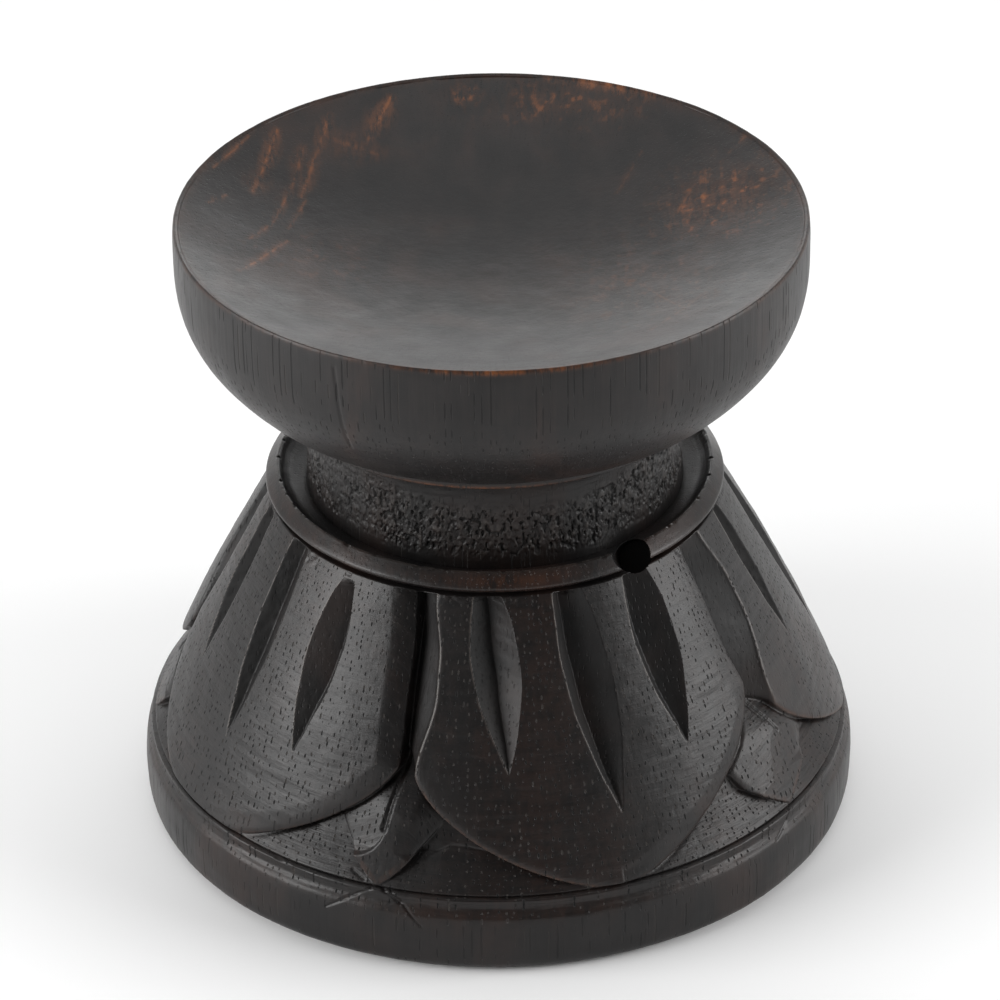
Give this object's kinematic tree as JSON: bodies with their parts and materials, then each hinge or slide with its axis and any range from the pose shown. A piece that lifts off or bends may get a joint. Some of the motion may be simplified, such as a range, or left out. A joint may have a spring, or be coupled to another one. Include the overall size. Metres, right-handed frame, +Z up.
{
  "type": "headrest",
  "caption": "Round carved wooden headrest or stand: dished top on a waisted neck, collar bead, lotus-petal bell and plain plinth.",
  "frame": {"origin": "on the floor, at the centre of the plinth's flat underside", "axes": "+Z up along the turned axis, from the plinth to the dish; -Y is the front, where the carving's widest petal faces 18.5 degrees to the right"},
  "size_m": [0.122, 0.122, 0.1084],
  "materials": {
    "dish_wood": "satin",
    "neck_wood": "satin",
    "collar_wood": "satin",
    "bell_wood": "satin",
    "plinth_wood": "satin"
  },
  "bodies": {
    "root": {"seat_dish": "dish_wood", "neck": "neck_wood", "collar_ring": "collar_wood", "petal_drum": "bell_wood", "plinth": "plinth_wood"}
  },
  "joints": []
}
